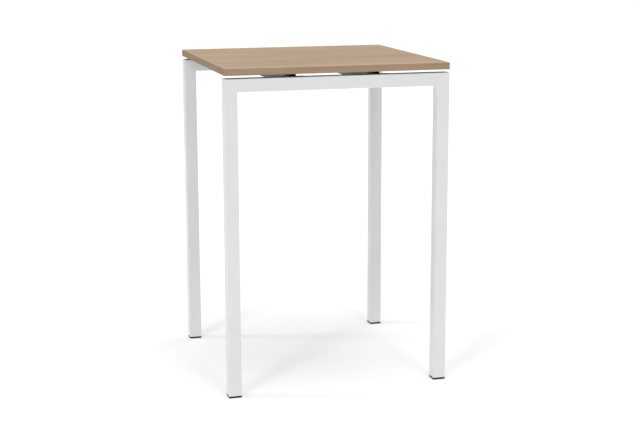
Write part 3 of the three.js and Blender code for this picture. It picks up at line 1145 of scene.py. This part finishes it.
@dataclass
class LevellingFoot:
    """Square glide pad and threaded screw in the plug of one leg.

    The pad's boss holds the screw's disc. Above its neck the screw has a hexagon, measured
    across its flats, and then the ridged thread up to a tapered tip.
    """

    paint: Paint
    corner: Corner
    pad_thickness: float = 5.0 * MM
    pad_round: float = 3.0 * MM
    pad_edge: float = 0.5 * MM
    pad_edge_middle: float = 0.15 * MM
    boss_radius: float = 9.9 * MM
    boss_root: float = 0.5 * MM
    boss_chamfer: float = 0.6 * MM
    boss_mouth: float = 5.4 * MM
    boss_facets: int = 48
    disc_radius: float = 6.6 * MM
    disc_height: float = 2.5 * MM
    neck_radius: float = 4.9 * MM
    hexagon: float = 17.0 * MM
    hexagon_foot: float = 5.1 * MM
    hexagon_height: float = 5.0 * MM
    hexagon_chamfer: float = 0.6 * MM
    hexagon_narrow: float = 0.93
    hexagon_sides: int = 6
    thread_radius: float = 5.0 * MM
    thread_depth: float = 0.85 * MM
    thread_facets: int = 32
    pitch: float = 1.5 * MM
    ridge_steps: tuple[float, float, float] = (0.15, 0.55, 0.70)
    tip_room: float = 1.3 * MM
    tip_height: float = 1.2 * MM
    tip_taper: float = 0.75

    def pad(self, node: str) -> bpy.types.Object:
        """Makes the pad with its swivel boss.

        Args:
            node: The node that it stands for.

        Returns:
            The new piece.
        """
        box = NodeBox(node)
        size, foot = box.size, box.foot
        thick, edge, middle = self.pad_thickness, self.pad_edge, self.pad_edge_middle
        lower = [(edge, 0.0), (middle, middle), (0.0, edge)]
        upper = [(inset, thick - z) for inset, z in reversed(lower)]
        work = bmesh.new()
        rings: list[Ring] = []
        for inset, z in lower + upper:
            outline = rounded_outline(
                size.x - 2 * inset, size.y - 2 * inset, self.pad_round - inset)
            rings.append([foot + Vector((x, y, z)) for x, y in outline])
        add_rings(work, rings)
        boss = [
            (self.boss_radius, thick - self.boss_root),
            (self.boss_radius, size.z - self.boss_chamfer),
            (self.boss_radius - self.boss_chamfer, size.z),
            (self.boss_mouth, size.z),
        ]
        add_lathe(work, boss, foot, self.boss_facets)
        return mesh_object(f"{node}_moulded", work)

    def _turned(self, foot: float, top: float) -> list[Point]:
        """Gives the profile of the screw's turned parts: disc, neck, thread and tip.

        Args:
            foot: Height at which the thread starts.
            top: Height of the screw's tip.

        Returns:
            Radius and height of each ring, from the disc up.
        """
        crest, valley = self.thread_radius, self.thread_radius - self.thread_depth
        profile: list[Point] = [
            (self.disc_radius, 0.0),
            (self.disc_radius, self.disc_height),
            (self.neck_radius, self.disc_height),
            (self.neck_radius, foot),
        ]
        for k in range(int((top - foot - self.tip_room) / self.pitch)):
            for radius, step in zip((valley, crest, crest), self.ridge_steps):
                profile.append((radius, foot + (k + step) * self.pitch))
        return profile + [(valley, top - self.tip_height), (crest * self.tip_taper, top)]

    def screw(self, node: str) -> bpy.types.Object:
        """Makes the levelling screw: disc, hexagon and ridged thread.

        Args:
            node: The node that it stands for.

        Returns:
            The new piece.
        """
        box = NodeBox(node)
        foot = self.hexagon_foot
        top = foot + self.hexagon_height
        work = bmesh.new()
        add_lathe(work, self._turned(top, box.size.z), box.foot, self.thread_facets)
        corner = self.hexagon / math.sqrt(3)
        hexagon = [
            (self.hexagon_narrow * corner, foot),
            (corner, foot + self.hexagon_chamfer),
            (corner, top - self.hexagon_chamfer),
            (self.hexagon_narrow * corner, top),
        ]
        add_lathe(work, hexagon, box.foot, self.hexagon_sides)
        return mesh_object(f"{node}_threaded", work)

    def build(self) -> None:
        """Makes the pad and screw, and dresses the plug."""
        at = self.corner.label
        dress_node(f"{at}_foot_plug", self.paint.plastic)
        pad, screw = f"{at}_glide_pad", f"{at}_levelling_screw"
        self.paint.place(self.pad(pad), f"{at}_pad", self.paint.plastic, pad)
        self.paint.place(self.screw(screw), f"{at}_screw", self.paint.zinc, screw)


# Studio


@dataclass(frozen=True)
class SoftLight:
    """A soft light that falls evenly on the whole studio.

    towards is where it stands, seen from the table, spread the angle that it fills, in degrees,
    and strength its watts per square metre.
    """

    name: str
    towards: tuple[float, float, float]
    spread: float
    strength: float

    def build(self) -> None:
        """Makes the light and points it at the table."""
        data = bpy.data.lights.new(self.name, "SUN")
        data.angle = math.radians(self.spread)
        data.energy = self.strength
        light = set_in_scene(self.name, data)
        light.location = self.towards
        light.rotation_euler = (-Vector(self.towards)).to_track_quat("-Z", "Y").to_euler()


LIGHTS = (
    SoftLight("key", (-3.4, -3.7, 5.0), 11.0, 0.50),
    SoftLight("front_fill", (0.8, -4.7, 5.6), 10.0, 0.26),
    SoftLight("overhead", (0.3, -0.4, 4.5), 30.0, 0.72),
    SoftLight("left_fill", (-4.4, 1.2, 5.4), 7.0, 0.38),
    SoftLight("right_fill", (3.6, 2.4, 2.6), 18.0, 0.20),
)


def seen_and_felt(wires: Wiring, seen: float, felt: object) -> bpy.types.NodeSocket:
    """Gives a strength that differs for what the camera sees and for what lights the table.

    Args:
        wires: The wiring of the floor's material or of the sky.
        seen: The strength in the picture.
        felt: The strength as a light, a number or a socket.

    Returns:
        The strength.
    """
    camera = wires.add("ShaderNodeLightPath").outputs["Is Camera Ray"]
    return wires.mix(camera, felt, seen, "FLOAT")


def clear_from_below(wires: Wiring, shader: bpy.types.Node) -> None:
    """Lets a camera under the floor see the table's underside.

    Args:
        wires: The floor material's wiring.
        shader: The floor's own shader.
    """
    output = wires.tree.nodes["Material Output"]
    behind = wires.add("ShaderNodeNewGeometry").outputs["Backfacing"]
    clear = wires.add("ShaderNodeBsdfTransparent").outputs[0]
    blend = wires.add("ShaderNodeMixShader", {0: behind, 1: shader.outputs[0], 2: clear})
    wires.feed(output.inputs["Surface"], blend.outputs[0])


@dataclass
class Studio:
    """Pale floor, a sky that brightens upwards, and five soft lights.

    Floor and sky each have one strength in the picture and another as a light: floor_glow and
    floor_bounce, and sky_seen and the range from sky_low to sky_high.
    """

    floor_size: float = 60.0
    floor_colour: Rgb = (0.78, 0.78, 0.78)
    floor_roughness: float = 0.9
    floor_specular: float = 0.1
    floor_glow: float = 0.235
    floor_bounce: float = 0.43
    sky_seen: float = 1.05
    sky_low: float = 0.12
    sky_high: float = 0.85

    def floor(self) -> None:
        """Makes the floor, which isn't part of the table."""
        work = bmesh.new()
        bmesh.ops.create_grid(work, x_segments=1, y_segments=1, size=self.floor_size / 2)
        plane = mesh_object("studio_floor", work)
        material, wires, shader, _ = new_material("studio_floor_paint")
        shader.inputs["Base Color"].default_value = rgba(self.floor_colour)
        shader.inputs["Roughness"].default_value = self.floor_roughness
        shader.inputs["Specular IOR Level"].default_value = self.floor_specular
        shader.inputs["Emission Color"].default_value = rgba(WHITE)
        strength = seen_and_felt(wires, self.floor_glow, self.floor_bounce)
        wires.feed(shader.inputs["Emission Strength"], strength)
        clear_from_below(wires, shader)
        coat(plane, material)

    def sky(self) -> None:
        """Makes the sky, which as a light brightens from the horizon to overhead."""
        world = bpy.data.worlds.new("studio_sky")
        world.use_nodes = True
        wires = Wiring(world.node_tree)
        way = wires.add("ShaderNodeTexCoord").outputs["Generated"]
        parts = wires.add("ShaderNodeSeparateXYZ", {0: way})
        rise = wires.remap(parts.outputs["Z"], 0.0, 1.0, self.sky_low, self.sky_high, "LINEAR")
        sky = world.node_tree.nodes["Background"]
        sky.inputs["Color"].default_value = rgba(WHITE)
        wires.feed(sky.inputs["Strength"], seen_and_felt(wires, self.sky_seen, rise))
        bpy.context.scene.world = world

    def build(self) -> None:
        """Makes sky, floor and lights, and sets plain colour handling."""
        bpy.context.scene.view_settings.view_transform = "Standard"
        self.sky()
        self.floor()
        for light in LIGHTS:
            light.build()


@dataclass
class PhotoCamera:
    """Camera at the photograph's viewing angle, as fitted to the table's edges.

    The focal length is in pixels of a picture image_width wide, and the angles are in degrees.
    """

    image_width: int = 640
    focal_px: float = 1385.026
    sensor: float = 36.0
    clip_end: float = 200.0
    place: tuple[float, float, float] = (-1.324867, -4.921873, 1.598074)
    yaw: float = 15.511
    pitch: float = 11.515
    roll: float = -0.151

    def build(self) -> None:
        """Makes the camera and sets it as the scene's."""
        data = bpy.data.cameras.new("photo_camera")
        data.sensor_fit = "HORIZONTAL"
        data.sensor_width = self.sensor
        data.lens = self.focal_px / self.image_width * self.sensor
        data.clip_end = self.clip_end
        yaw, pitch, roll = (math.radians(a) for a in (self.yaw, self.pitch, self.roll))
        level = Vector((math.sin(yaw), math.cos(yaw), 0.0))
        ahead = level * math.cos(pitch) - Vector((0.0, 0.0, math.sin(pitch)))
        across = Vector((math.cos(yaw), -math.sin(yaw), 0.0))
        upward = across.cross(ahead)
        right = math.cos(roll) * across + math.sin(roll) * upward
        top = math.cos(roll) * upward - math.sin(roll) * across
        turn = Matrix((right, top, -ahead)).transposed().to_4x4()
        camera = set_in_scene("photo_camera", data)
        camera.matrix_world = Matrix.Translation(Vector(self.place)) @ turn
        bpy.context.scene.camera = camera


def main() -> None:
    """Builds the camera, the table's sub-assemblies and the studio, in order."""
    logging.basicConfig(level=logging.INFO, format="%(name)s: %(message)s")
    PhotoCamera().build()
    paint = Paint()
    screws = ButtonScrews(paint.zinc)
    Worktop(paint).build()
    for end in End:
        PortalFrame(paint, end).build()
    CrossRails(paint, screws).build()
    WorktopFixing(paint, screws).build()
    for corner in Corner:
        LevellingFoot(paint, corner).build()
    Studio().build()


if __name__ == "__main__":
    main()
